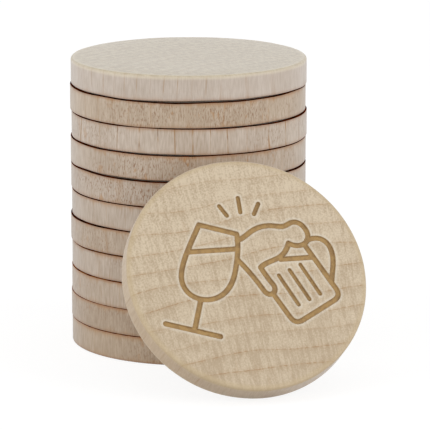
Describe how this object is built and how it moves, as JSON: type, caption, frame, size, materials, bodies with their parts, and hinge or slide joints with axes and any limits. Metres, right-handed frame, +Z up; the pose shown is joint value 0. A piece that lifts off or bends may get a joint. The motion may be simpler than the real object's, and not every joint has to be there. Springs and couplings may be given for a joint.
{
  "type": "wooden game token set",
  "caption": "Stack of loose round wooden game tokens with a further token leaning on its front, its outer face engraved with a picture of clinking glasses.",
  "frame": {"origin": "centre of the bottom face of the lowest stack token, on the table", "axes": "+Z up along the stack, -Y to the front, where the leaning token stands, +X to the right seen from the front"},
  "size_m": [0.043, 0.0578, 0.0429],
  "materials": {
    "bare_wood": "sanded, unvarnished, matt; engraved lines scorched tan"
  },
  "bodies": {
    "stack_token_01": {"stack_token_01": "bare_wood"},
    "stack_token_02": {"stack_token_02": "bare_wood"},
    "stack_token_03": {"stack_token_03": "bare_wood"},
    "stack_token_04": {"stack_token_04": "bare_wood"},
    "stack_token_05": {"stack_token_05": "bare_wood"},
    "stack_token_06": {"stack_token_06": "bare_wood"},
    "stack_token_07": {"stack_token_07": "bare_wood"},
    "stack_token_08": {"stack_token_08": "bare_wood"},
    "stack_token_09": {"stack_token_09": "bare_wood"},
    "stack_token_10": {"stack_token_10": "bare_wood"},
    "stack_token_11": {"stack_token_11": "bare_wood"},
    "leaning_token": {"leaning_token": "bare_wood"}
  },
  "joints": [
    {"name": "lift_02", "type": "slide", "parent": "stack_token_01", "child": "stack_token_02", "axis": [0, 0, 1], "range_m": [0, 0.015]},
    {"name": "lift_03", "type": "slide", "parent": "stack_token_02", "child": "stack_token_03", "axis": [0, 0, 1], "range_m": [0, 0.015]},
    {"name": "lift_04", "type": "slide", "parent": "stack_token_03", "child": "stack_token_04", "axis": [0, 0, 1], "range_m": [0, 0.015]},
    {"name": "lift_05", "type": "slide", "parent": "stack_token_04", "child": "stack_token_05", "axis": [0, 0, 1], "range_m": [0, 0.015]},
    {"name": "lift_06", "type": "slide", "parent": "stack_token_05", "child": "stack_token_06", "axis": [0, 0, 1], "range_m": [0, 0.015]},
    {"name": "lift_07", "type": "slide", "parent": "stack_token_06", "child": "stack_token_07", "axis": [0, 0, 1], "range_m": [0, 0.015]},
    {"name": "lift_08", "type": "slide", "parent": "stack_token_07", "child": "stack_token_08", "axis": [0, 0, 1], "range_m": [0, 0.015]},
    {"name": "lift_09", "type": "slide", "parent": "stack_token_08", "child": "stack_token_09", "axis": [0, 0, 1], "range_m": [0, 0.015]},
    {"name": "lift_10", "type": "slide", "parent": "stack_token_09", "child": "stack_token_10", "axis": [0, 0, 1], "range_m": [0, 0.015]},
    {"name": "lift_11", "type": "slide", "parent": "stack_token_10", "child": "stack_token_11", "axis": [0, 0, 1], "range_m": [0, 0.015]},
    {"name": "tip", "type": "hinge", "parent": "stack_token_01", "child": "leaning_token", "pos_m": [0.0109, -0.03866, 0.00106], "axis": [0.9625, 0.2714, 0], "range_deg": [0, 124.5]}
  ]
}
